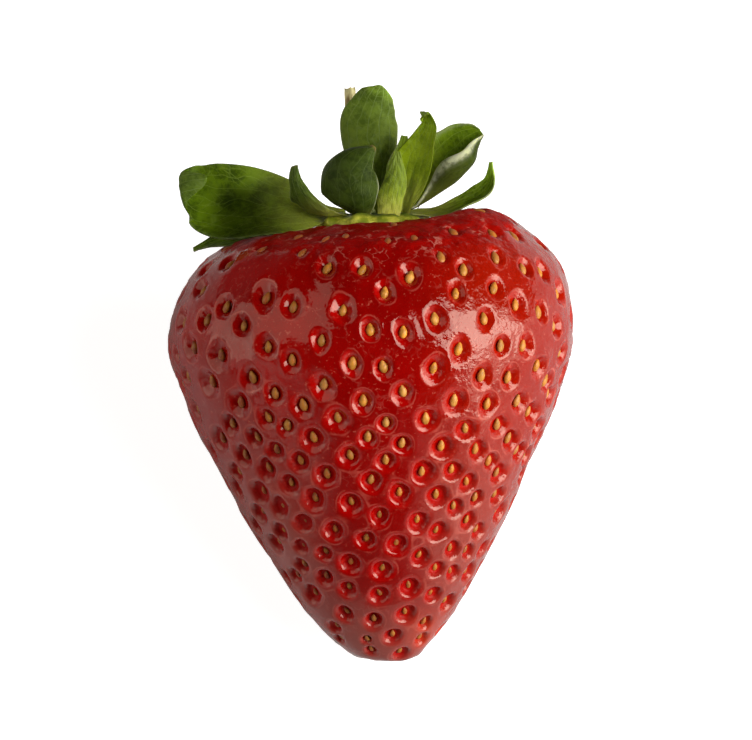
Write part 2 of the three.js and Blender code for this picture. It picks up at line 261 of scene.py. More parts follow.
def eased_apart(sites, spacing, fixed):
    """The sites after those that stand too close have pushed each other away. The first ones stay."""
    for _ in range(EASING_ROUNDS):
        place, _, up, over = skin_frame(sites)
        gap, away = gaps_between(place)
        crowding = np.maximum(0, EASED_GAP - away / spacing[:, None])
        push = -(gap / away[..., None] * crowding[..., None]).sum(1) * spacing[:, None] * EASING_PUSH
        push[:fixed] = 0
        polar = polar_angle(sites)
        scale = np.interp(polar, POLAR, SECTION[:, 0]) / np.maximum(np.sin(polar), 1e-3)
        north, east = sphere_tangents(sites)
        move = (push * up).sum(1)[:, None] * north + (push * over).sum(1)[:, None] * east
        sites = unit(sites + move / scale[:, None])
    return sites


def seed_sites():
    """The listed seeds of the upper flank, and spiral ones all over the rest of the berry."""
    flank = flank_sites()
    spiral, spacing = spiral_sites()
    facing, _ = seen_on_flank(spiral)
    gap = np.linalg.norm(skin_place(spiral)[:, None] - skin_place(flank)[None], axis=-1).min(1)
    kept = (facing < LIST_EDGE) & (gap > LIST_GAP * spacing)
    sites = np.concatenate([flank, spiral[kept]])
    spacing = np.concatenate([np.full(len(flank), LISTED_SPACING), spacing[kept]])
    return eased_apart(sites, spacing, len(flank))


def room_around(place):
    """Each site's room among its three nearest neighbours, and its distance to the nearest."""
    _, away = gaps_between(place)
    away.sort(axis=1)
    return np.clip(np.minimum(away[:, :3].mean(1), 1.2 * away[:, 0]), *ROOM_LIMITS), away[:, 0]


def site_tree():
    tree = kdtree.KDTree(len(SITES))
    for number, site in enumerate(SITES):
        tree.insert(Vector(site), number)
    tree.balance()
    return tree


SITES = seed_sites()
SITE_PLACE, SITE_NORMAL, SITE_UP, SITE_OVER = skin_frame(SITES)
SITE_ACROSS, SITE_HEIGHT = SITE_PLACE[:, 0], SITE_PLACE[:, 2]
TREE = site_tree()
ROOM, NEAREST = room_around(SITE_PLACE)

# How the pits differ, by place. They are long shallow ovals on the shoulders, rounder and deeper towards
# the tip, deeper again at both sides and in front, and faint near the calyx.
SHOULDER = smoothstep(SITE_HEIGHT, 24, 34)
DEEP = 1 - smoothstep(SITE_HEIGHT, 20, 34)
LEFT = (1 - smoothstep(SITE_ACROSS, -14, -6)) * SHOULDER
RIGHT = smoothstep(SITE_ACROSS, 13, 18)
FRONT = SHOULDER * (1 - smoothstep(np.abs(SITE_ACROSS - 1), 7, 11))
PITTED = 1 - 0.75 * smoothstep(SITE_HEIGHT, 42.5, 45.5) * (1 - 0.6 * smoothstep(SITE_ACROSS, 6, 12))
PIT_SPAN = ROOM * np.array([rng.uniform(0.9, 1.08) for _ in SITES])
PIT_HALF_LENGTH = PIT_SPAN * (0.46 - 0.08 * SHOULDER) * (0.55 + 0.45 * PITTED)
PIT_HALF_WIDTH = PIT_SPAN * (0.45 - 0.15 * SHOULDER) * (0.55 + 0.45 * PITTED)
PIT_HALF_WIDTH *= 1 + 0.18 * LEFT + 0.12 * RIGHT
PIT_DEPTH = 0.50 + 0.18 * DEEP + 0.15 * LEFT + 0.18 * RIGHT + 0.15 * FRONT
PIT_DEPTH *= PITTED * np.minimum(ROOM / 3.0, 1.1)


def near_sites(direction, many):
    """For each direction, the numbers of the nearest sites."""
    return np.array([[found[1] for found in TREE.find_n(Vector(d), many)] for d in direction])


def pit_radius(offset, site):
    """Distance from a seed in units of its pit's oval, for offsets in millimetres."""
    length = np.einsum("...i,...i", offset, SITE_UP[site]) / PIT_HALF_LENGTH[site]
    width = np.einsum("...i,...i", offset, SITE_OVER[site]) / PIT_HALF_WIDTH[site]
    return np.hypot(length, width)


# ---- Modelling helpers ------------------------------------------------------------------
def added(name):
    """The object that the last operator added, renamed."""
    piece = bpy.context.object
    piece.name = name
    piece.data.name = name
    return piece


def activate(piece):
    bpy.ops.object.select_all(action="DESELECT")
    piece.select_set(True)
    bpy.context.view_layer.objects.active = piece


def apply_modifier(piece, kind, **settings):
    activate(piece)
    modifier = piece.modifiers.new(kind.lower(), kind)
    for key, value in settings.items():
        setattr(modifier, key, value)
    bpy.ops.object.modifier_apply(modifier=modifier.name)


def corners(piece):
    places = np.empty(len(piece.data.vertices) * 3)
    piece.data.vertices.foreach_get("co", places)
    return places.reshape(-1, 3)


def set_corners(piece, places):
    piece.data.vertices.foreach_set("co", np.asarray(places, float).ravel())
    piece.data.update()


def note(piece, **notes):
    """Keeps numbers for the material to read, one for each corner."""
    for name, values in notes.items():
        attribute = piece.data.attributes.new(name, "FLOAT", "POINT")
        attribute.data.foreach_set("value", np.asarray(values, np.float32))


def from_arrays(name, places, faces):
    mesh = bpy.data.meshes.new(name)
    mesh.from_pydata(np.asarray(places).tolist(), [], faces)
    piece = bpy.data.objects.new(name, mesh)
    bpy.context.scene.collection.objects.link(piece)
    return piece


def as_pattern(piece):
    """The piece's corners and faces, to be copied many times. The piece itself goes."""
    pattern = corners(piece), [list(polygon.vertices) for polygon in piece.data.polygons]
    bpy.data.objects.remove(piece)
    return pattern


def joined_copies(name, copies, faces):
    """One piece of many copies of a pattern, none of them below the surface that the berry lies on."""
    size = len(copies[0])
    placed = laid(np.concatenate(copies))
    placed[:, 2] = np.maximum(placed[:, 2], 0.02 * MM)
    every_face = [[number * size + corner for corner in face] for number in range(len(copies))
                  for face in faces]
    return from_arrays(name, placed, every_face)


def wear(piece, *materials):
    for material in materials:
        piece.data.materials.append(material)


def finish_piece(piece, slot, *stands_for):
    for polygon in piece.data.polygons:
        polygon.use_smooth = True
    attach(piece, "root")
    if stands_for:
        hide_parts(*stands_for)


# ---- Materials --------------------------------------------------------------------------
class Wiring:
    """A node tree being wired: short calls for its nodes, whose inputs go by name or by number, as _0."""

    def __init__(self, tree):
        self.tree = tree

    def wire(self, value, socket):
        if isinstance(value, bpy.types.NodeSocket):
            self.tree.links.new(value, socket)
        else:
            socket.default_value = value

    def node(self, kind, settings=None, out=0, **inputs):
        made = self.tree.nodes.new(kind)
        for key, value in (settings or {}).items():
            setattr(made, key, value)
        for key, value in inputs.items():
            self.wire(value, made.inputs[int(key[1:]) if key[0] == "_" else key])
        return made.outputs[out]

    def maths(self, operation, a, b=0.0, clamp=False):
        return self.node("ShaderNodeMath", {"operation": operation, "use_clamp": clamp}, _0=a, _1=b)

    def times(self, a, b):
        return self.maths("MULTIPLY", a, b)

    def spread(self, value, low, high, to_low=0.0, to_high=1.0):
        """The value from low to high, spread softly over to_low to to_high."""
        return self.node("ShaderNodeMapRange", {"interpolation_type": "SMOOTHSTEP"}, _0=value, _1=low,
                         _2=high, _3=to_low, _4=to_high)

    def blend(self, share, first, second, kind="MIX"):
        """Two colours mixed: the Mix node's colour sockets are its inputs 6 and 7 and its output 2."""
        return self.node("ShaderNodeMix", {"data_type": "RGBA", "blend_type": kind}, out=2, _0=share,
                         _6=first, _7=second)

    def tinted(self, first, second):
        return self.blend(1.0, first, second, "MULTIPLY")


class Finish(Wiring):
    """A material being wired round its shader, whose plain numbers are set by name."""

    def __init__(self, name, **sockets):
        self.material = bpy.data.materials.new(name)
        self.material.use_nodes = True
        super().__init__(self.material.node_tree)
        self.shader = self.tree.nodes["Principled BSDF"]
        self.give(**sockets)

    def give(self, **sockets):
        for socket, value in sockets.items():
            self.wire(value, self.shader.inputs[socket.replace("_", " ")])
        return self.material

    def attribute(self, name, share=None):
        """What the piece's corners note under a name, or a share of it."""
        noted = self.node("ShaderNodeAttribute", {"attribute_name": name}, out="Fac")
        return noted if share is None else self.times(noted, share)

    def place(self):
        return self.node("ShaderNodeTexCoord", out="Object")

    def noise(self, scale, detail=3, roughness=0.5, stretch=None, out="Fac"):
        vector = self.place()
        if stretch:
            vector = self.node("ShaderNodeMapping", Vector=vector, Scale=stretch)
        return self.node("ShaderNodeTexNoise", out=out, Vector=vector, Scale=scale, Detail=detail,
                         Roughness=roughness)

    def patches(self, scale, detail, roughness, low, high, to_low=0.0, to_high=1.0):
        """Soft-edged patches, where a noise goes from low to high."""
        return self.spread(self.noise(scale, detail, roughness), low, high, to_low, to_high)

    def bump(self, height, distance, strength, **over):
        """Small relief, in metres, on top of the relief that is given as Normal."""
        return self.node("ShaderNodeBump", Height=height, Distance=distance, Strength=strength, **over)


def colour(red, green, blue):
    return (red, green, blue, 1.0)


RIPE_RED = colour(0.235, 0.0014, 0.0008)
CLOUD_RED = colour(0.29, 0.0018, 0.0010)
LOW_RED = colour(0.232, 0.0014, 0.0009)  # towards the tip
SIDE_RED = colour(0.285, 0.009, 0.001)  # on the right side
MIDDLE_TINT = colour(0.76, 0.5, 0.5)
PIT_TINT = colour(1.0, 0.6, 0.6)
DEEP_PIT_TINT = colour(1.15, 0.4, 0.4)
# painted light in the pits of the middle flank
PAINTED_PIT_LIGHT_TINT = colour(1.5, 1.3, 1.3)
CALYX_RED = colour(0.30, 0.002, 0.001)  # where the skin turns in under the calyx
# painted shade in the folds under the calyx
FOLD_SHADE_RED = colour(0.13, 0.0008, 0.0004)
SPECK_PINK = colour(0.50, 0.11, 0.07)
# painted highlight on the pit rims
RIM_HIGHLIGHT_PINK = colour(0.52, 0.10, 0.07)
# painted sheen on the ridges between the pits
RIDGE_SHEEN_PINK = colour(0.24, 0.055, 0.040)
# fine pale hairs, with painted highlights
HAIR_AND_GLINT_PINK = colour(0.60, 0.20, 0.15)
TIP_ORANGE = colour(0.44, 0.034, 0.008)
CROWN_YELLOW = colour(0.36, 0.20, 0.02)  # the unripe edge beside the calyx pad


def ripe_red(skin):
    """The skin's red: clouded, different towards the tip and from left to right, with pale specks."""
    red = skin.blend(skin.patches(160, 4, 0.6, 0.35, 0.65), RIPE_RED, CLOUD_RED)
    red = skin.blend(skin.attribute("low"), red, LOW_RED)
    red = skin.blend(skin.attribute("middle"), red, skin.tinted(red, MIDDLE_TINT))
    red = skin.blend(skin.attribute("side", 0.6), red, SIDE_RED)
    specks = skin.patches(2100, 3, 0.6, 0.60, 0.72)
    specks = skin.times(specks, skin.spread(skin.attribute("low"), 0.0, 1.0, 0.40, 0.16))
    return skin.blend(specks, red, SPECK_PINK)


def pit_colours(skin, red):
    """The red, with darker pit floors, painted light in mid-flank pits and painted highlights on the rims.
    """
    darker = skin.tinted(red, skin.blend(skin.attribute("deep"), PIT_TINT, DEEP_PIT_TINT))
    red = skin.blend(skin.attribute("pit"), red, darker)
    # Painted light: the pits in the middle of the flank are painted lighter.
    inside = skin.times(skin.spread(skin.attribute("reach"), 1.12, 0.85), skin.attribute("bright"))
    red = skin.blend(inside, red, skin.tinted(red, PAINTED_PIT_LIGHT_TINT))
    # Painted highlight: a thin pale ring round each pit, where its rim catches the light.
    off_rim = skin.maths("ABSOLUTE", skin.maths("SUBTRACT", skin.attribute("reach"), 1.09))
    rim = skin.times(skin.spread(off_rim, 0.11, 0.0), skin.attribute("ringed"))
    rim = skin.times(rim, skin.patches(420, 3, 0.5, 0.4, 0.65))
    rim = skin.times(rim, skin.spread(skin.attribute("side"), 0.0, 1.0, 0.35, 0.6))
    return skin.blend(rim, red, RIM_HIGHLIGHT_PINK)


def calyx_folds(skin, red):
    """The red where the skin turns in under the calyx: painted shade, and pale hairs with painted glints."""
    red = skin.blend(skin.attribute("wrinkled", 0.8), red, CALYX_RED)
    # Painted shade: dark patches stand for the shade in the folds.
    fold_shade = skin.times(skin.patches(420, 3, 0.6, 0.55, 0.35), skin.attribute("wrinkled"))
    red = skin.blend(skin.times(fold_shade, 0.45), red, FOLD_SHADE_RED)
    # Thin pale lines: partly fine hairs, partly painted highlights on the wrinkles.
    bent_place = skin.blend(0.002, skin.place(), skin.noise(900, 2, out="Color"), "ADD")
    net = skin.node("ShaderNodeTexVoronoi", {"feature": "DISTANCE_TO_EDGE"}, out="Distance", Scale=620,
                    Vector=bent_place)
    hairs_and_glints = skin.times(skin.spread(net, 0.09, 0.0), skin.patches(500, 3, 0.6, 0.5, 0.65))
    hairs_and_glints = skin.times(hairs_and_glints, skin.spread(skin.attribute("wrinkled"), 0.0, 1.0, 0.08, 0.65))
    return skin.blend(hairs_and_glints, red, HAIR_AND_GLINT_PINK)


def berry_finish(name, rough, shine):
    skin = Finish(name, Roughness=rough, IOR=1.45, Specular_IOR_Level=shine,
                  Specular_Tint=colour(1, 0.86, 0.72))
    red = pit_colours(skin, ripe_red(skin))
    # Painted sheen: ridges between the pits, low on the berry, are paled towards grey pink.
    red = skin.blend(skin.attribute("ridge_sheen", 0.4), red, RIDGE_SHEEN_PINK)
    red = skin.blend(skin.attribute("tip", 0.5), red, TIP_ORANGE)
    red = calyx_folds(skin, red)
    red = skin.blend(skin.attribute("crown"), red, CROWN_YELLOW)
    wrinkles = skin.bump(skin.times(skin.noise(900, 4, 0.6), skin.attribute("wrinkled")), 0.0005, 0.5)
    mottle = skin.times(skin.noise(760, 3, 0.6), skin.spread(skin.attribute("side"), 0.0, 0.6, 0.3, 1.0))
    uneven = skin.bump(mottle, 0.00035, 0.5, Normal=wrinkles)
    grain = skin.bump(skin.noise(2600, 3, 0.55), 0.00002, 0.3, Normal=uneven)
    return skin.give(Base_Color=red, Normal=grain)


def seed_finish():
    """Gold when raised, olive brown when sunk and, as painted shade, on the left; no two seeds alike."""
    seed = Finish("seed_gold", Roughness=0.38, IOR=1.45, Specular_IOR_Level=0.3)
    tone = seed.attribute("tone")
    gold = seed.blend(tone, colour(0.60, 0.30, 0.07), colour(0.75, 0.31, 0.03))
    olive = seed.blend(tone, colour(0.18, 0.030, 0.010), colour(0.27, 0.050, 0.012))
    # The ripe note is partly painted shade: seeds on the left flank are painted olive brown.
    husk = seed.blend(seed.attribute("ripe"), olive, gold)
    husk = seed.blend(seed.patches(1500, 3, 0.5, 0.35, 0.7), husk, colour(0.36, 0.15, 0.02))
    husk = seed.blend(seed.attribute("buried", 0.7), husk, colour(0.32, 0.05, 0.02))
    return seed.give(Base_Color=husk, Normal=seed.bump(seed.noise(3200, 2), 0.00004, 0.5))


# ---- Berry ------------------------------------------------------------------------------
PAD_MIDDLE = np.array([0.4, 0.0, 48.2])
# Where the rings of a seed's cell go, in units of its pit's oval: the pit's floor, its wall, and the floor
# of a plain cell, which has no wall ring. The cell's own edge goes to CELL_REACH, or nearer where the next
# seed is close.
FLOOR_SHARE, WALL_SHARE, PLAIN_SHARE = 0.40, 0.72, 0.56
CELL_REACH = 1.10
CELL_ROOM = 0.46  # the most that a cell takes up of the way to the nearest seed
CELL_CORNER = 38  # how much of its edges each corner of the ball gives up to its cell, in per cent
RING_INSET = 0.006  # on the unit ball, before the rings are moved
DETAILED = 0.08  # cells have the extra ring where the skin faces the camera more squarely than this
MEETING_SHARPNESS = 14  # how sharply two pits meet
RAGGEDNESS = 0.24  # how far a pit's outline strays, as a share of its size
PIT_FLOOR, CROWN = 1, 2  # the berry's other materials after its ripe skin


def relief(radius, depth, deep, crowded):
    """Height of the skin by distance from the seed, in units of the pit's oval, and where its floor is."""
    bowl = 0.6 * (1 - np.clip((radius - 0.35) / 0.70, 0, 1)) + 0.4 * (1 - smoothstep(radius, 0.25, 1.15))
    floor_edge = 0.30 + deep * (0.08 + 0.10 * crowded)
    wall_top = 0.80 + deep * (0.03 + 0.15 * crowded)
    well = 1 - smoothstep(radius, floor_edge, wall_top)
    lip = (0.12 - 0.08 * deep) * bell(radius, 1.12, 0.14)
    in_bowl = 0.85 - 0.65 * deep
    return depth * (lip - in_bowl * bowl - (1 - in_bowl) * well), well


def floors(cage):
    """The face in the middle of each cell, with its seed's number. All faces are left deselected."""
    found = []
    for face in bmesh.from_edit_mesh(cage.data).faces:
        face.select_set(False)
        _, site, away = TREE.find(face.calc_center_median())
        if away < 0.25 * math.sqrt(face.calc_area()):
            found.append((face, site))
    return found


def pitted_ball():
    """A ball with a cell of rings for each seed, one ring more on the upper flank, and the rings' shares."""
    detailed = seen_on_flank(SITES)[0] > DETAILED
    cage = from_arrays("berry", SITES, [])
    activate(cage)
    bpy.ops.object.mode_set(mode="EDIT")
    bpy.ops.mesh.select_all(action="SELECT")
    bpy.ops.mesh.convex_hull(join_triangles=False)
    bpy.ops.mesh.select_all(action="SELECT")
    bpy.ops.mesh.bevel(offset_type="PERCENT", offset_pct=CELL_CORNER, affect="VERTICES", segments=1)
    bpy.ops.mesh.select_mode(type="FACE")
    for wanted in (np.ones(len(SITES), bool), detailed):
        for face, site in floors(cage):
            face.select_set(bool(wanted[site]))
        bmesh.update_edit_mesh(cage.data)
        bpy.ops.mesh.inset(thickness=RING_INSET, use_individual=True)
    share = {}
    for face, site in floors(cage):
        floor = set(face.verts)
        share.update({corner.index: FLOOR_SHARE if detailed[site] else PLAIN_SHARE for corner in floor})
        if detailed[site]:
            wall = {edge.other_vert(corner) for corner in floor for edge in corner.link_edges} - floor
            share.update({corner.index: WALL_SHARE for corner in wall})
    bpy.ops.object.mode_set(mode="OBJECT")
    return cage, share


def fit_cells(ball, share):
    """Moves each cell's rings to their shares of its pit's oval."""
    direction = unit(corners(ball))
    site = near_sites(direction, 1)[:, 0]
    radius = pit_radius(skin_place(direction) - SITE_PLACE[site], site)
    widest = np.maximum(PIT_HALF_LENGTH, PIT_HALF_WIDTH)
    wanted = np.minimum(CELL_REACH, CELL_ROOM * NEAREST / widest)[site]
    wanted[list(share)] *= np.array(list(share.values()))
    set_corners(ball, unit(SITES[site] + (direction - SITES[site]) * (wanted / radius)[:, None]))


def nearest_pit(direction, place):
    """The pit that each place lies in or beside, and its pit radius, softened where two pits meet."""
    near = near_sites(direction, 4)
    radii = pit_radius(place[:, None] - SITE_PLACE[near], near)
    nearest = np.take_along_axis(near, radii.argmin(1)[:, None], 1)[:, 0]
    return nearest, -np.log(np.exp(-MEETING_SHARPNESS * radii).sum(1)) / MEETING_SHARPNESS


def waves(place, finer):
    """Smooth random waves between about -1 and 1, shorter where finer is higher."""
    return np.array([noise.noise(Vector((x * finer, y * finer, z * finer))) for x, y, z in place])


def lumps(place):
    """The skin's gentle unevenness, its wrinkles where it turns in under the calyx, and where those are."""
    height = 0.26 * waves(place, 0.16)
    height += 0.07 * waves(place, 0.5)
    away = np.hypot(place[:, 0] - PAD_MIDDLE[0], place[:, 1])
    lower_at_left = 0.12 * (-place[:, 0]).clip(0, 15)
    wrinkled = smoothstep(place[:, 2] + lower_at_left, 40.5, 44.5) * (1 - smoothstep(away, 16, 19.5))
    some = wrinkled > 0.01
    height[some] += 0.22 * wrinkled[some] * waves(place[some], 0.9)
    return height, wrinkled


def skin_zones(place, well, crowded):
    """Where the skin's colours and finish change, from 0 to 1."""
    across, under, height = place.T
    away = np.hypot(across - PAD_MIDDLE[0], under)
    low = 1 - smoothstep(height, 12, 30)
    by_tip = 1 - smoothstep(height, 2, 10)
    by_pad = smoothstep(height, 44, 46.5) * (1 - smoothstep(away, 5.2, 8.5))
    under_bract = smoothstep(height, 47.6, 48.9) * bell(across, 6.3, 2.8)
    under_bract *= (1 - smoothstep(under, -5, -1)) * (1 - smoothstep(away, 8, 12))
    return {
        "low": low,
        "middle": smoothstep(across, -10, -3),  # and all that is right of it
        "side": smoothstep(across, 3, 14),
        # where the ridges get their painted sheen
        "ridge_sheen": low * np.maximum(crowded, by_tip) * (1 - well),
        "tip": (1 - smoothstep(height, 2, 7)) * smoothstep(across, 3, 6) * smoothstep(height, 0, 2),
        "crown": np.maximum(by_pad, under_bract),
    }


def make_berry():
    """The skin: a ball of pit cells that takes the berry's shape and relief, with three finishes."""
    berry, share = pitted_ball()
    fit_cells(berry, share)
    apply_modifier(berry, "SUBSURF", levels=2, render_levels=2)

    direction = unit(corners(berry))
    place, normal, _, _ = skin_frame(direction)
    across = place[:, 0]
    nearest, radius = nearest_pit(direction, place)
    pitted, deep = PITTED[nearest], DEEP[nearest]
    uneven, wrinkled = lumps(place)
    ragged = waves(place, 0.6)
    radius *= 1 + RAGGEDNESS * ragged
    crowded = smoothstep(np.abs(across), 3, 9)
    height, well = relief(radius, PIT_DEPTH[nearest], deep, crowded)
    own = laid(place + normal * (height + uneven)[:, None])
    own[:, 2] = (own[:, 2] + np.sqrt(own[:, 2] ** 2 + (FLAT_ROUNDING * MM) ** 2)) / 2
    set_corners(berry, own)

    # Where the pits are painted lighter, as painted light: the middle of the flank.
    bright = smoothstep(across, -10, -3) * (1 - 0.5 * smoothstep(across, 4, 12))
    # Two of these notes mark where the pits get painted light and their rims a painted highlight.
    note(berry, pit=well * pitted, deep=deep, reach=radius, ringed=pitted * (1 - wrinkled),
         wrinkled=wrinkled, bright=bright * pitted, **skin_zones(place, well, crowded))
    wear(berry, berry_finish("ripe_skin", 0.07, 0.5), berry_finish("pit_floor", 0.35, 0.1),
         berry_finish("crown_skin", 0.42, 0.03))
    floor = well * pitted * (0.4 + 0.6 * deep)
    turned_in = wrinkled * (across < 15 + 2 * ragged)
    for polygon in berry.data.polygons:
        own_corners = list(polygon.vertices)
        if floor[own_corners].mean() > 0.5:
            polygon.material_index = PIT_FLOOR
        elif turned_in[own_corners].mean() > 0.7:
            polygon.material_index = CROWN
    finish_piece(berry, "berry_skin", "berry_flesh")


# ---- Seeds ------------------------------------------------------------------------------
def one_seed():
    """A seed one unit long: an egg drawn out to a blunt point at its upper end."""
    bpy.ops.mesh.primitive_uv_sphere_add(segments=8, ring_count=6, radius=0.5)
    shape, faces = as_pattern(added("seed"))
    shape[:, :2] *= (1 - 0.35 * smoothstep(shape[:, 2], -0.1, 0.5))[:, None]
    # Its width, height and length are laid along a left-handed frame, which turns it inside out.
    return shape, [face[::-1] for face in faces]


def make_seeds():
    """A seed in every pit, larger, raised and golden up the berry, smaller, sunk and dull at its tip."""
    shape, faces = one_seed()
    high = smoothstep(SITE_HEIGHT, 10, 32)
    drawn_out = 1 + 0.25 * smoothstep(SITE_HEIGHT, 42, 46)
    sunk = -0.01 + 0.17 * high - PIT_DEPTH - 0.33 * (1 - PITTED)
    middle = SITE_PLACE + SITE_NORMAL * sunk[:, None]
    # Painted shade: seeds are less golden towards the left flank; they are also duller by the tip, by the
    # calyx and far right.
    ripe = smoothstep(SITE_ACROSS, -10 - 5 * high, 5) * (0.16 + 0.84 * high)
    ripe *= 0.15 + 0.85 * PITTED
    ripe *= 1 - 0.35 * smoothstep(SITE_ACROSS, 6, 14)
    copies, tones = [], []
    for number, out in enumerate(SITE_NORMAL):
        size = rng.uniform(0.88, 1.04) * (0.66 + 0.34 * high[number])
        turn = rng.gauss(0, 0.16)
        up = SITE_UP[number] * math.cos(turn) + SITE_OVER[number] * math.sin(turn)
        over = SITE_OVER[number] * math.cos(turn) - SITE_UP[number] * math.sin(turn)
        copies.append(middle[number] + shape[:, :1] * over * SEED_WIDTH * size
                      + shape[:, 1:2] * out * SEED_HEIGHT * size
                      + shape[:, 2:] * up * SEED_LENGTH * size * drawn_out[number])
        tones.append(rng.random())
    seeds = joined_copies("seeds", copies, faces)
    each = len(shape)
    note(seeds, tone=np.repeat(tones, each), ripe=np.repeat(ripe, each),
         buried=np.repeat(1 - PITTED, each))
    wear(seeds, seed_finish())
    finish_piece(seeds, "seed_gold")


# ---- Leaves -----------------------------------------------------------------------------
LEAF_STEPS = 72
LEAF_STRIPS = 30
LEAF_THICKNESS = 0.17
ROOT_LENGTH = 0.05  # this share of a blade's grid is its root, which runs into the calyx pad
INTO_PAD = 0.4  # how far it runs, as a share of the way to the pad's middle
MAIN_VEINS = [0.0, 0.36, 0.68]  # the midrib and the two veins beside it, as shares of the half width
GROOVE_WIDTH = 0.22
GROOVE_DEPTH = 0.018
QUILTING = 0.06  # how high the blade swells between the veins
PALE_MARGIN_STRIP = 0.09  # the width of a pale margin, as a share of the half width

# What a leaf has unless its own entry says otherwise.
USUAL_LEAF = dict(
    blunt=0.0,  # how far the margins are drawn back at the tip, to round it
    wave=0.15,  # how high the margins ripple
    # From shade to outside, these set the leaf's painted light and shade.
    shade=1.0,  # how light the whole leaf is
    low=0.8,  # how light its lowest part is,
    top=1.0,  # how light its end is,
    end=(0.62, 0.8),  # and where along the leaf its end begins and is full
    root=0.0,  # how much of the dark is taken off again near its base
    dim_margin=0.0,  # how much darker its very margin is
    outside=1.0,  # how light its underside is
    edge=0.25,  # how pale its margins are, from fine hairs and painted sheen,
    edge_left=1.0,  # that of the left margin as a share of the right one's,
    margin=1.0,  # and how wide the pale strip is
    dry=0.0,  # how dried its tip is
    # The pale base is partly its own colour and partly painted light shining through.
    glow=0.5,  # how pale its base is,
    pale=0.14,  # and how far along the leaf that reaches
)
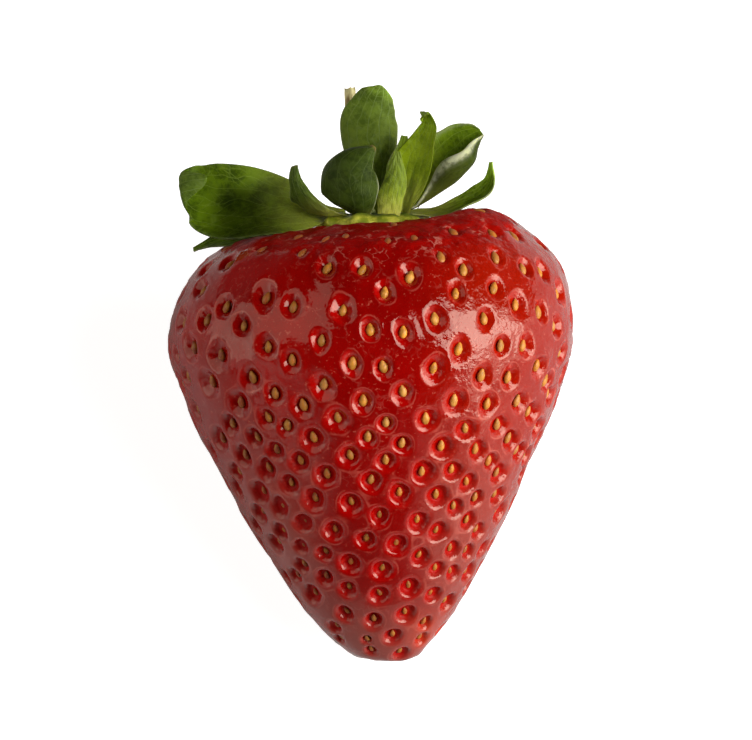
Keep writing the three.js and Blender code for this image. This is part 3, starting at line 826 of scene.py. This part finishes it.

# At even stations from base to tip: the midrib's route, the way the upper face looks, the widths of the left
# and right halves, and the degrees through which a half curls up between midrib and margin. curl_right is
# the right half's own curl, fresh says how young a green the leaf has and how much light is painted through
# it, and lit between which heights its painted light grows, instead of over its whole height.
LEAVES = {
    "sepal_left": dict(
        route=[(-4.6, -0.4, 49.2), (-8.5, -2.2, 49.9), (-13.0, -3.5, 50.45), (-17.0, -3.6, 50.6),
               (-19.7, -3.7, 51.2), (-20.9, -5.2, 52.2), (-17.9, -6.2, 53.0)],
        face=[(0.1, -0.6, 0.85), (0.05, -0.85, 0.5), (0.05, -0.9, 0.45), (0.15, -0.9, 0.4), (0.6, -0.7, 0.3),
              (1.0, 0.1, 0.1), (0.1, 1.0, -0.1)],
        left=[1.6, 4.1, 5.9, 6.0, 4.5, 3.3, 2.8],
        right=[1.3, 2.9, 3.9, 4.2, 3.5, 2.4, 1.6],
        curl=[20, 35, 40, 40, 35, 30],
        blunt=0.30, fresh=0.15, low=0.24, lit=(51.0, 53.8), end=(0.42, 0.6), edge=0.05, pale=0.4, glow=0.35,
        root=1.3),
    "sepal_front_cupped": dict(
        route=[(-1.1, -4.1, 48.9), (-1.7, -6.9, 49.9), (-2.1, -8.1, 52.5), (-1.3, -8.0, 54.9),
               (0.4, -6.7, 56.3)],
        face=[(0.1, 0.3, 1), (0.1, 0.9, 0.6), (0.15, 1, 0.1), (0.1, 1, -0.3), (-0.3, 0.9, -0.8)],
        left=[1.1, 3.0, 3.5, 2.6, 0.4],
        right=[1.4, 4.3, 5.0, 3.9, 0.4],
        curl=[30, 60, 75, 75, 60],
        fresh=0.05, shade=0.50, edge=0.8, wave=0.03, dry=0.8),
    "sepal_centre_hooked": dict(
        route=[(3.5, -2.7, 48.9), (4.1, -2.9, 51.5), (4.9, -3.2, 54.4), (5.9, -3.3, 57.2), (6.5, -3.5, 59.1),
               (6.1, -4.4, 60.2), (5.5, -4.9, 59.4)],
        face=[(-0.5, -0.5, 0.2), (-0.5, -0.8, 0.2), (-0.4, -0.9, 0.2), (-0.5, -0.8, 0.1), (-0.8, -0.5, -0.3),
              (-0.3, -0.1, -1), (0.9, 0, -0.4)],
        left=[1.0, 2.2, 2.6, 1.6, 1.0, 0.7, 0.4],
        right=[1.0, 1.7, 2.1, 1.6, 1.1, 0.8, 0.4],
        curl=[35, 40, 40, 40, 40, 30],
        curl_right=[25, 12, 12, 15, 30, 30],
        fresh=0.95, pale=0.35, edge=0.0, glow=0.7, low=1.0, shade=0.92, top=1.7, end=(0.48, 0.68),
        dim_margin=0.6),
    "sepal_right_folded": dict(
        route=[(4.9, 1.2, 50.1), (7.1, 1.3, 51.9), (9.0, 1.2, 54.0), (10.4, 1.1, 55.8), (11.2, 1.0, 57.1),
               (11.9, 0.9, 57.9), (12.4, 0.8, 58.3)],
        face=[(-0.1, -0.6, 0.7), (-0.2, -0.9, 0.3), (-0.2, -0.95, 0.2), (-0.25, -0.95, 0.1),
              (-0.25, -0.95, 0.1), (-0.25, -0.95, 0.1), (-0.25, -0.95, 0)],
        left=[0.9, 2.6, 3.7, 4.2, 3.3, 2.0, 0.8],
        right=[0.9, 3.0, 5.7, 5.2, 3.4, 1.9, 0.6],
        curl=[35, 35, 30, 30, 30, 30],
        curl_right=[90, 200, 200, 165, 155, 140, 110],
        fresh=0.3, shade=1.1, edge=2.0, margin=2.6, edge_left=0.15, wave=0.02, pale=0.5, glow=0.4, low=1.0,
        outside=0.28),
    "sepal_back_tall": dict(
        route=[(1.4, 2.8, 49.0), (0.7, 2.6, 52.5), (0.1, 2.4, 56.2), (-0.2, 2.5, 59.4), (0.2, 2.5, 61.5),
               (0.7, 2.1, 62.8), (1.1, 1.3, 63.6)],
        face=[(0, 1, 0.1), (0, 1, 0), (0, 1, 0), (0.05, 1, 0.1), (0.1, 0.9, 0.3), (0, 0.8, 0.6),
              (0, 0.6, 0.8)],
        left=[0.9, 1.7, 2.9, 3.5, 2.7, 1.9, 0.9],
        right=[0.9, 1.5, 3.2, 3.5, 2.6, 1.7, 0.9],
        curl=[30, 35, 40, 40, 35, 20],
        blunt=0.2, fresh=0.25, low=0.72, lit=(58.0, 62.0), end=(0.74, 0.9), top=2.4),
    "bract_left_low": dict(
        route=[(-4.1, 1.4, 48.6), (-8.0, 0.6, 48.3), (-12.5, -1.0, 47.5), (-16.5, -1.8, 46.3),
               (-19.6, -1.6, 45.2)],
        face=[(0, -0.4, 1), (0, -0.6, 0.9), (-0.1, -0.7, 0.8), (-0.3, -0.7, 0.8), (-0.4, -0.7, 0.8)],
        left=[1.1, 1.9, 2.2, 1.6, 0.3],
        right=[1.1, 1.8, 2.0, 1.3, 0.3],
        curl=[15, 20],
        fresh=0.1),
    "bract_left_upright": dict(
        route=[(-3.9, -3.7, 48.8), (-5.7, -4.8, 49.2), (-7.1, -5.6, 50.8), (-8.0, -5.7, 52.6),
               (-8.3, -5.2, 54.3)],
        face=[(0.2, 0.2, 1), (0.5, 0.5, 0.7), (0.6, 0.8, 0.3), (0.4, 0.9, 0), (0.4, 0.9, -0.3)],
        left=[0.9, 1.3, 0.9, 0.5, 0.35],
        right=[1.6, 3.1, 2.8, 1.5, 0.4],
        curl=[30, 40, 45, 45, 40],
        fresh=0.1, pale=0.6, shade=0.85, glow=0.6, dry=0.3, root=1.0),
    "bract_centre_front": dict(
        route=[(1.9, -4.4, 48.6), (2.4, -4.6, 50.6), (2.8, -4.4, 53.0), (2.9, -4.0, 55.9)],
        face=[(0.1, 1, 0.1), (0, 1, 0), (0, 1, 0), (0, 1, -0.1)],
        left=[1.2, 1.2, 1.2, 0.3],
        right=[1.2, 1.7, 1.3, 0.3],
        curl=[25, 30, 30, 25],
        fresh=1.0, pale=0.48, wave=0.04, glow=1.0, low=1.0, edge=0.1),
    "bract_right": dict(
        route=[(5.0, -1.2, 49.3), (7.4, -1.6, 49.5), (9.8, -1.9, 50.3), (12.0, -1.9, 51.3),
               (13.2, -1.7, 52.9), (13.35, -1.5, 54.9)],
        face=[(0, -0.3, 1), (0, -0.6, 0.9), (-0.2, -0.7, 0.8), (-0.4, -0.8, 0.5), (-0.7, -0.7, 0.2),
              (-0.7, -0.7, 0.1)],
        left=[1.0, 0.7, 1.0, 1.3, 0.8, 0.3],
        right=[2.3, 2.4, 1.8, 1.5, 0.9, 0.3],
        curl=[20, 30, 40, 40, 35, 30],
        fresh=0.35, pale=0.5, glow=0.6, edge=0.3, top=3.2, end=(0.72, 0.95)),
    "bract_centre_back": dict(
        route=[(2.7, 1.1, 49.2), (2.9, 1.1, 51.5), (3.4, 1.4, 54.8), (3.8, 1.3, 58.0)],
        face=[(0, -1, 0.1), (0, -1, 0.1), (0, -1, 0), (0, -1, 0)],
        left=[0.7, 1.2, 1.5, 0.3],
        right=[0.7, 1.2, 1.5, 0.3],
        curl=[30, 35],
        fresh=0.8),
}


def blade(leaf, across, along):
    """Places, outward directions and half widths on a leaf.

    across runs from -1, the left margin, to 1, and along from 0, the base, to 1, the tip.
    """
    def on_own_side(left, right):
        return np.where(across > 0, smooth_run(right, along), smooth_run(left, along))

    heading = unit(smooth_run(leaf["route"], along + 0.002) - smooth_run(leaf["route"], along - 0.002))
    up = smooth_run(leaf["face"], along)
    up = unit(up - (up * heading).sum(-1, keepdims=True) * heading)
    side = np.cross(heading, up)
    width = on_own_side(leaf["left"], leaf["right"])
    bend = np.radians(on_own_side(leaf["curl"], leaf.get("curl_right", leaf["curl"])))
    turned = bend * across
    skin = (smooth_run(leaf["route"], along) + side * (width * np.sin(turned) / bend)[..., None]
            + up * (width * (1 - np.cos(turned)) / bend)[..., None])
    outward = up * np.cos(turned)[..., None] - side * np.sin(turned)[..., None]
    return skin, outward, width


def vein_grooves(across, along, width):
    """Depth of the grooves over the main veins, 0 to 1."""
    lines = sum(bell((np.abs(across) - at) * width, 0, GROOVE_WIDTH) for at in MAIN_VEINS)
    return lines * smoothstep(along, 0.02, 0.15) * (1 - smoothstep(along, 0.8, 0.97))


def surface_relief(name, leaf, across, along, width):
    """Ripples at the margins, quilting between the veins, and their grooves. Each leaf has its own phase."""
    phase = sum(map(ord, name))
    margin = smoothstep(np.abs(across), 0.35, 1)
    ripple = leaf["wave"] * margin * np.sin(along * 15 + phase + np.sign(across) * 1.3)
    from_midrib = np.abs(across)
    quilting = QUILTING * np.sin(from_midrib * 6 + along * 9) * np.sin(along * 17 + phase + 3 * from_midrib)
    swell = (ripple + quilting) * smoothstep(along, 0, 0.15)
    return swell - GROOVE_DEPTH * vein_grooves(across, along, width)


def painted_leaf_light(leaf, height, across, along):
    """Painted light and shade: how much lighter or darker the green is painted, 1 for plain."""
    by_height = smoothstep(height, *leaf.get("lit", (height.min(), height.max())))
    by_root = leaf["root"] * (1 - smoothstep(along, 0.1, 0.32))
    lit = leaf["low"] + (1 - leaf["low"]) * np.maximum(by_height, by_root)
    lit += (leaf["top"] - lit) * smoothstep(along, *leaf["end"])
    dim = 1 - leaf["dim_margin"] * smoothstep(np.abs(across), 0.92, 1)
    return leaf["shade"] * lit * dim


def make_leaf(name, leaf, upper, under):
    """A leaf from a flat grid: its blade, its relief, the root that runs into the pad, and its thickness."""
    bpy.ops.mesh.primitive_grid_add(x_subdivisions=LEAF_STRIPS, y_subdivisions=LEAF_STEPS, size=2)
    piece = added(name + "_blade")
    grid = corners(piece)
    across = grid[:, 0]
    reach = (grid[:, 1] + 1) / 2
    along = np.clip((reach - ROOT_LENGTH) / (1 - ROOT_LENGTH), 0, 1)
    along *= 1 - leaf["blunt"] * across**2 * smoothstep(along, 0.3, 1)
    place, outward, width = blade(leaf, across, along)
    place = place + outward * surface_relief(name, leaf, across, along, width)[:, None]
    into_pad = np.clip(1 - reach / ROOT_LENGTH, 0, 1)
    inward = (PAD_MIDDLE - np.array(leaf["route"][0])) * INTO_PAD
    place = place + into_pad[:, None] * inward
    set_corners(piece, laid(place))

    length = np.linalg.norm(np.diff(np.array(leaf["route"]), axis=0), axis=1).sum()
    # Painted light and shade on the upper face, and on the underside.
    light = painted_leaf_light(leaf, place[:, 2], across, along)
    edge = smoothstep(np.abs(across), 1 - PALE_MARGIN_STRIP * leaf["margin"], 1.0) * leaf["edge"]
    note(piece, across=across, half_width=width, length=along * length, light=light,
         light_under=light * leaf["outside"],
         edge=edge * np.where(across > 0, 1.0, leaf["edge_left"]),
         fresh=leaf["fresh"] * (1 - 0.6 * smoothstep(along, 0.3, 0.8)),
         dry=leaf["dry"] * smoothstep(along, 0.955, 1.0),
         pale=leaf["glow"] * (1 - smoothstep(along, 0, leaf["pale"])))
    wear(piece, upper, under)
    apply_modifier(piece, "SOLIDIFY", thickness=LEAF_THICKNESS * MM, offset=0, material_offset=1,
                   material_offset_rim=0, use_rim=True)
    finish_piece(piece, "sepal_green" if name.startswith("sepal") else "bract_green", name)


def leaf_veins(leaf):
    """Strength of the veins, 0 to 1: the main ones along the blade and a fine net between them."""
    half_width = leaf.attribute("half_width")
    sway = leaf.times(leaf.maths("SUBTRACT", leaf.noise(260, 2), 0.5), 0.5)
    across = leaf.maths("ABSOLUTE", leaf.maths("ADD", leaf.attribute("across"), sway))
    veins = 0.0
    for at in MAIN_VEINS:
        away = leaf.times(leaf.maths("ABSOLUTE", leaf.maths("SUBTRACT", across, at)), half_width)
        veins = leaf.maths("MAXIMUM", veins, leaf.spread(away, 0.08, 0.01))
    sideways = leaf.times(leaf.attribute("across"), half_width)
    slanted = leaf.maths("SUBTRACT", leaf.attribute("length"), leaf.maths("ABSOLUTE", sideways))
    spot = leaf.node("ShaderNodeCombineXYZ", _0=leaf.times(sideways, 0.55), _1=leaf.times(slanted, 0.8))
    cells = leaf.node("ShaderNodeTexVoronoi", {"feature": "DISTANCE_TO_EDGE"}, out="Distance", Vector=spot,
                      Scale=1.0)
    net = leaf.times(leaf.spread(cells, 0.07, 0.0), leaf.patches(500, 2, 0.5, 0.4, 0.6, 0.15, 0.8))
    return leaf.maths("MAXIMUM", veins, net)


YOUNG_SHADOW = colour(0.55, 0.6, 0.5)  # what is left of a young green in its darker mottles
BASE_YELLOW = colour(0.50, 0.50, 0.09)
# pale margins: fine hairs, and painted sheen
PALE_MARGIN_AND_SHEEN_GREY = colour(0.46, 0.48, 0.30)
DRIED_BROWN = colour(0.16, 0.11, 0.04)


def leaf_finish(name, rough, light_note, deep, bright, young, vein):
    """Mottled from a deep to a bright green, or a young green partly painted as lit through."""
    leaf = Finish(name, Roughness=rough, IOR=1.4, Specular_IOR_Level=0.06, Subsurface_Weight=0.3,
                  Subsurface_Radius=(0.5, 0.6, 0.1), Subsurface_Scale=0.001)
    mottle = leaf.patches(330, 8, 0.8, 0.38, 0.60)
    grown = leaf.blend(mottle, deep, bright)
    # A young green, partly its own colour and partly painted light shining through the blade.
    fresh = leaf.tinted(young, leaf.blend(mottle, YOUNG_SHADOW, colour(1, 1, 1)))
    green = leaf.blend(leaf.attribute("fresh"), grown, fresh)
    veins = leaf_veins(leaf)
    green = leaf.blend(leaf.times(veins, 0.45), green, vein)
    # A pale yellow base, partly its own colour and partly painted light shining through.
    green = leaf.blend(leaf.attribute("pale"), green, BASE_YELLOW)
    # Painted light and shade, as the piece notes it.
    light = leaf.attribute(light_note)
    green = leaf.tinted(green, leaf.node("ShaderNodeCombineColor", _0=light, _1=light, _2=light))
    # Pale margins, partly fine hairs and partly painted sheen on the folded edges.
    hairs_and_sheen = leaf.patches(1300, 3, 0.6, 0.35, 0.60, 0.35, 1.0)
    hairs_and_sheen = leaf.maths("MULTIPLY", leaf.attribute("edge"), hairs_and_sheen, clamp=True)
    green = leaf.blend(hairs_and_sheen, green, PALE_MARGIN_AND_SHEEN_GREY)
    green = leaf.blend(leaf.attribute("dry"), green, DRIED_BROWN)
    sunk = leaf.bump(leaf.maths("SUBTRACT", 1.0, veins), 0.00006, 0.5)
    coarse = leaf.bump(leaf.noise(800, 5, 0.65), 0.00030, 0.5, Normal=sunk)
    fine = leaf.bump(leaf.noise(3500, 2), 0.00004, 0.35, Normal=coarse)
    return leaf.give(Base_Color=green, Normal=fine)


def make_leaves():
    """All ten leaves. Each finish has its roughness, the note of its painted light and shade, and its
    greens.
    """
    upper = leaf_finish(
        "leaf_upper", 0.42, "light", deep=colour(0.016, 0.034, 0.001), bright=colour(0.080, 0.140, 0.004),
        young=colour(0.25, 0.34, 0.008), vein=colour(0.18, 0.26, 0.035))
    under = leaf_finish(
        "leaf_under", 0.5, "light_under", deep=colour(0.034, 0.060, 0.006),
        bright=colour(0.088, 0.140, 0.018), young=colour(0.27, 0.34, 0.025), vein=colour(0.16, 0.22, 0.06))
    for name, leaf in LEAVES.items():
        make_leaf(name, {**USUAL_LEAF, **leaf}, upper, under)


# ---- Calyx pad and stalk ----------------------------------------------------------------
# The pad's outline, from its underside round to its middle on top: radius and height.
PAD_RINGS = [(4.8, 47.2), (6.1, 47.5), (6.4, 48.0), (5.9, 48.7), (4.9, 49.1), (3.6, 49.1), (2.2, 49.0),
             (1.3, 49.4)]
PAD_SIDES = 80
STALK = [(-0.2, 0.6, 49.0), (-0.9, 1.9, 50.6), (-1.8, 3.6, 52.6), (-2.2, 5.0, 56.5), (-2.3, 5.9, 60.2),
         (-2.3, 6.4, 63.5)]
STALK_RADIUS = [0.95, 0.75, 0.7, 0.7, 0.62, 0.62]  # at the same stations
STALK_RINGS = 40
STALK_SIDES = 16


def extruded_rings(name, sides, rings):
    """A closed solid drawn up from a disc, ring by ring, each ring a radius and a height."""
    bpy.ops.mesh.primitive_circle_add(vertices=sides, radius=rings[0][0], fill_type="NGON",
                                      location=(0, 0, rings[0][1]))
    piece = added(name)
    bpy.ops.object.transform_apply(location=True, rotation=False, scale=False)
    bpy.ops.object.mode_set(mode="EDIT")
    bpy.ops.mesh.select_all(action="SELECT")
    for (radius, height), (wider, higher) in zip(rings, rings[1:]):
        bpy.ops.mesh.extrude_region_move(TRANSFORM_OT_translate={"value": (0, 0, higher - height)})
        grow = wider / radius
        bpy.ops.transform.resize(value=(grow, grow, 1), center_override=(0, 0, higher))
    bpy.ops.mesh.select_all(action="SELECT")
    bpy.ops.mesh.normals_make_consistent(inside=False)
    bpy.ops.object.mode_set(mode="OBJECT")
    return piece


def pad_finish():
    """Yellow green at the rim and, as painted shade under the leaves, darker on top; both in patches."""
    skin = Finish("pad_skin", Roughness=0.5, Specular_IOR_Level=0.3)
    patch = skin.patches(520, 4, 0.65, 0.40, 0.58)
    rim = skin.blend(patch, colour(0.56, 0.56, 0.06), colour(0.22, 0.27, 0.012))
    # Painted shade: the top of the pad, under the leaves, is painted darker.
    middle = skin.blend(patch, colour(0.16, 0.21, 0.015), colour(0.04, 0.07, 0.004))
    green = skin.blend(skin.attribute("above"), rim, middle)
    return skin.give(Base_Color=green, Normal=skin.bump(skin.noise(900, 4, 0.6), 0.0002, 0.5))


def make_pad():
    """The pad, its rim lobed where the ten leaves grow from it and wavy between them."""
    pad = extruded_rings("calyx_pad", PAD_SIDES, PAD_RINGS)
    apply_modifier(pad, "SUBSURF", levels=1, render_levels=1)
    shape = corners(pad)
    turn = np.arctan2(shape[:, 1], shape[:, 0])
    outer = smoothstep(np.hypot(shape[:, 0], shape[:, 1]), 1.5, 5)
    swell = 1 + outer * (0.03 * np.cos(10 * turn) + 0.02 * np.cos(23 * turn + 1))
    shape[:, :2] *= swell[:, None]
    lift = 0.12 * np.cos(10 * turn + 0.5) + 0.10 * np.cos(7 * turn) + 0.06 * np.cos(17 * turn)
    shape[:, 2] += outer * lift
    shape[:, 0] += PAD_MIDDLE[0]
    set_corners(pad, laid(shape))
    # Where the pad is painted darker on top, as painted shade under the leaves.
    note(pad, above=smoothstep(shape[:, 2], 48.6, 49.0))
    wear(pad, pad_finish())
    finish_piece(pad, "calyx_green", "calyx_disc")


def stalk_finish():
    """Pale green with streaks along it, dried to straw and brown towards the cut end."""
    skin = Finish("stalk_skin", Roughness=0.6, Specular_IOR_Level=0.3)
    streaks = skin.noise(1100, 4, 0.6, stretch=(1, 0.2, 0.2))
    green = skin.blend(streaks, colour(0.14, 0.20, 0.04), colour(0.26, 0.27, 0.09))
    dried = skin.blend(skin.spread(streaks, 0.42, 0.6), colour(0.20, 0.14, 0.04), colour(0.80, 0.74, 0.36))
    green = skin.blend(skin.spread(skin.attribute("along"), 0.76, 0.86), green, dried)
    return skin.give(Base_Color=green, Normal=skin.bump(streaks, 0.0002, 0.6))


def make_stalk():
    """The stalk, with five ribs along it and a torn end."""
    rings = [(1.0, ring / STALK_RINGS) for ring in range(STALK_RINGS + 1)]
    stalk = extruded_rings("cut_stalk", STALK_SIDES, rings)
    shape = corners(stalk)
    along = shape[:, 2]
    heading = unit(smooth_run(STALK, along + 0.01) - smooth_run(STALK, along - 0.01))
    side = unit(np.cross(heading, [0.0, 1.0, 0.0]))
    front = np.cross(heading, side)
    turn = np.arctan2(shape[:, 1], shape[:, 0])
    ribs = 1 + 0.05 * np.cos(5 * turn) + 0.04 * np.sin(along * 40 + 2 * turn)
    thick = smooth_run(STALK_RADIUS, along) * ribs
    torn = (along > 0.99) * (0.35 * np.cos(3 * turn + 0.6) + 0.25 * np.cos(5 * turn))
    place = (smooth_run(STALK, along) + side * (shape[:, 0] * thick)[:, None]
             + front * (shape[:, 1] * thick)[:, None] + heading * torn[:, None])
    set_corners(stalk, laid(place))
    note(stalk, along=along)
    wear(stalk, stalk_finish())
    finish_piece(stalk, "stalk_green", "stalk")


# ---- Stamens ----------------------------------------------------------------------------
STAMENS = 16  # all round the pad, before those in front drop off
STAMEN_RING = 4.4  # how far from the pad's middle they stand
STAMEN_FOOT = 0.9  # and how far above it


def one_stamen():
    """A dried stamen two millimetres long: a bent thread with a flattened head."""
    thread = extruded_rings("thread", 5, [(0.07, 0), (0.06, 0.5), (0.05, 1.0), (0.05, 1.5), (0.04, 1.9)])
    bpy.ops.mesh.primitive_uv_sphere_add(segments=6, ring_count=4, radius=0.24, location=(0, 0, 2.0),
                                         scale=(1, 0.6, 1.3))
    added("head")
    thread.select_set(True)
    bpy.context.view_layer.objects.active = thread
    bpy.ops.object.join()
    shape, faces = as_pattern(thread)
    shape[:, 0] += 0.22 * (shape[:, 2] / 2) ** 2
    return shape, faces


def stamen_finish():
    dry = Finish("dried_stamen", Roughness=0.7)
    brown = dry.blend(dry.noise(900, 3), colour(0.10, 0.055, 0.02), colour(0.30, 0.20, 0.07))
    return dry.give(Base_Color=brown)


def make_stamens():
    """Dried stamens round the back of the pad, leaning outwards."""
    shape, faces = one_stamen()
    copies = []
    for number in range(STAMENS):
        turn = 2 * math.pi * (number + rng.uniform(-0.3, 0.3)) / STAMENS
        rise = rng.uniform(0.3, 0.9)
        out = np.array([math.cos(turn), math.sin(turn), 0])
        if out[1] < 0.2:
            continue
        heading = unit(out * math.cos(rise) + np.array([0, 0, math.sin(rise)]))
        side = unit(np.cross(heading, [0, 0, 1.0]))
        over = np.cross(side, heading)
        foot = PAD_MIDDLE + out * STAMEN_RING + np.array([0, 0, STAMEN_FOOT])
        copies.append(foot + shape[:, :1] * over + shape[:, 1:2] * side
                      + shape[:, 2:] * heading * rng.uniform(0.8, 1.1))
    stamens = joined_copies("stamens", copies, faces)
    wear(stamens, stamen_finish())
    finish_piece(stamens, "calyx_green")


# ---- Stage ------------------------------------------------------------------------------
LAMP_AIM = (0, 0, 26)  # the middle of the berry
WHITE, WARM_WHITE = (1, 1, 1), (1, 0.93, 0.84)
# Each soft light's direction from the berry, in the berry's frame, its distance, width and height in metres,
# its radiance and its colour.
SOFTBOXES = {
    "softbox_right": ((0.92, -0.39, -0.05), 0.5, 0.40, 0.55, 3.1, WARM_WHITE),
    "softbox_right_core": ((0.74, -0.66, 0.04), 0.42, 0.26, 0.40, 7.5, WHITE),
    "softbox_left": ((-0.92, -0.37, 0.20), 0.5, 0.49, 0.90, 1.4, WARM_WHITE),
}


def aimed(name, data, target, direction, distance):
    """A camera or lamp that looks at a target from a direction, both in the berry's frame."""
    toward = Vector(LAY_DOWN @ np.array(direction, float)).normalized()
    looker = bpy.data.objects.new(name, data)
    bpy.context.scene.collection.objects.link(looker)
    looker.location = Vector(laid([target])[0]) + toward * distance
    looker.rotation_mode = "QUATERNION"
    looker.rotation_quaternion = (-toward).to_track_quat("-Z", "Y")
    return looker


def make_camera():
    data = bpy.data.cameras.new("camera")
    data.sensor_width = 36
    data.lens = data.sensor_width * CAMERA_DISTANCE / VIEW_WIDTH
    data.clip_start, data.clip_end = 0.01, 20
    bpy.context.scene.camera = aimed("camera", data, VIEW_CENTRE, (0, -1, 0), CAMERA_DISTANCE * MM)


def make_softbox(name, direction, distance, width, height, radiance, tint):
    data = bpy.data.lights.new(name, "AREA")
    data.shape = "RECTANGLE"
    data.size, data.size_y = width, height
    data.energy = radiance * math.pi * width * height
    data.color = tint
    aimed(name, data, LAMP_AIM, direction, distance)


def make_floor():
    """Pale paper that also glows to the camera, so that it is white round the berry's soft shadow."""
    bpy.ops.mesh.primitive_plane_add(size=6, location=(0, 0, -0.02 * MM))
    floor = added("floor")
    paper = Finish("white_floor", Roughness=0.9, Base_Color=colour(0.6, 0.6, 0.6))
    plain = paper.shader.outputs[0]
    glow = paper.node("ShaderNodeEmission", Color=colour(1, 1, 1), Strength=0.84)
    glowing = paper.node("ShaderNodeAddShader", _0=plain, _1=glow)
    to_camera = paper.node("ShaderNodeLightPath", out="Is Camera Ray")
    seen = paper.node("ShaderNodeMixShader", _0=to_camera, _1=plain, _2=glowing)
    paper.wire(seen, paper.tree.nodes["Material Output"].inputs[0])
    wear(floor, paper.material)


def make_world():
    """White to the camera. To the berry it is a dim room, lighter low down, at the sides and by the tip."""
    world = bpy.data.worlds.new("studio")
    bpy.context.scene.world = world
    world.use_nodes = True
    sky = Wiring(world.node_tree)
    way = sky.node("ShaderNodeSeparateXYZ", _0=sky.node("ShaderNodeTexCoord", out="Generated")).node.outputs
    at_sides = sky.spread(sky.maths("ABSOLUTE", way["X"]), 0.25, 0.75, 0.16, 1.0)
    low_down = sky.spread(way["Z"], 0.10, 0.45, 0.9, 0.03)
    by_tip = sky.spread(way["Y"], -0.3, 0.3, 1.0, 0.15)
    room = sky.times(sky.times(low_down, at_sides), by_tip)
    to_camera = sky.node("ShaderNodeLightPath", out="Is Camera Ray")
    background = sky.tree.nodes["Background"]
    sky.wire(sky.maths("MAXIMUM", room, to_camera), background.inputs["Strength"])
    sky.wire(colour(1, 1, 1), background.inputs["Color"])


def make_stage():
    make_floor()
    make_world()
    for name, settings in SOFTBOXES.items():
        make_softbox(name, *settings)
    bpy.context.scene.view_settings.view_transform = "Standard"


make_camera()
make_stage()
make_berry()
make_seeds()
make_leaves()
make_pad()
make_stalk()
make_stamens()
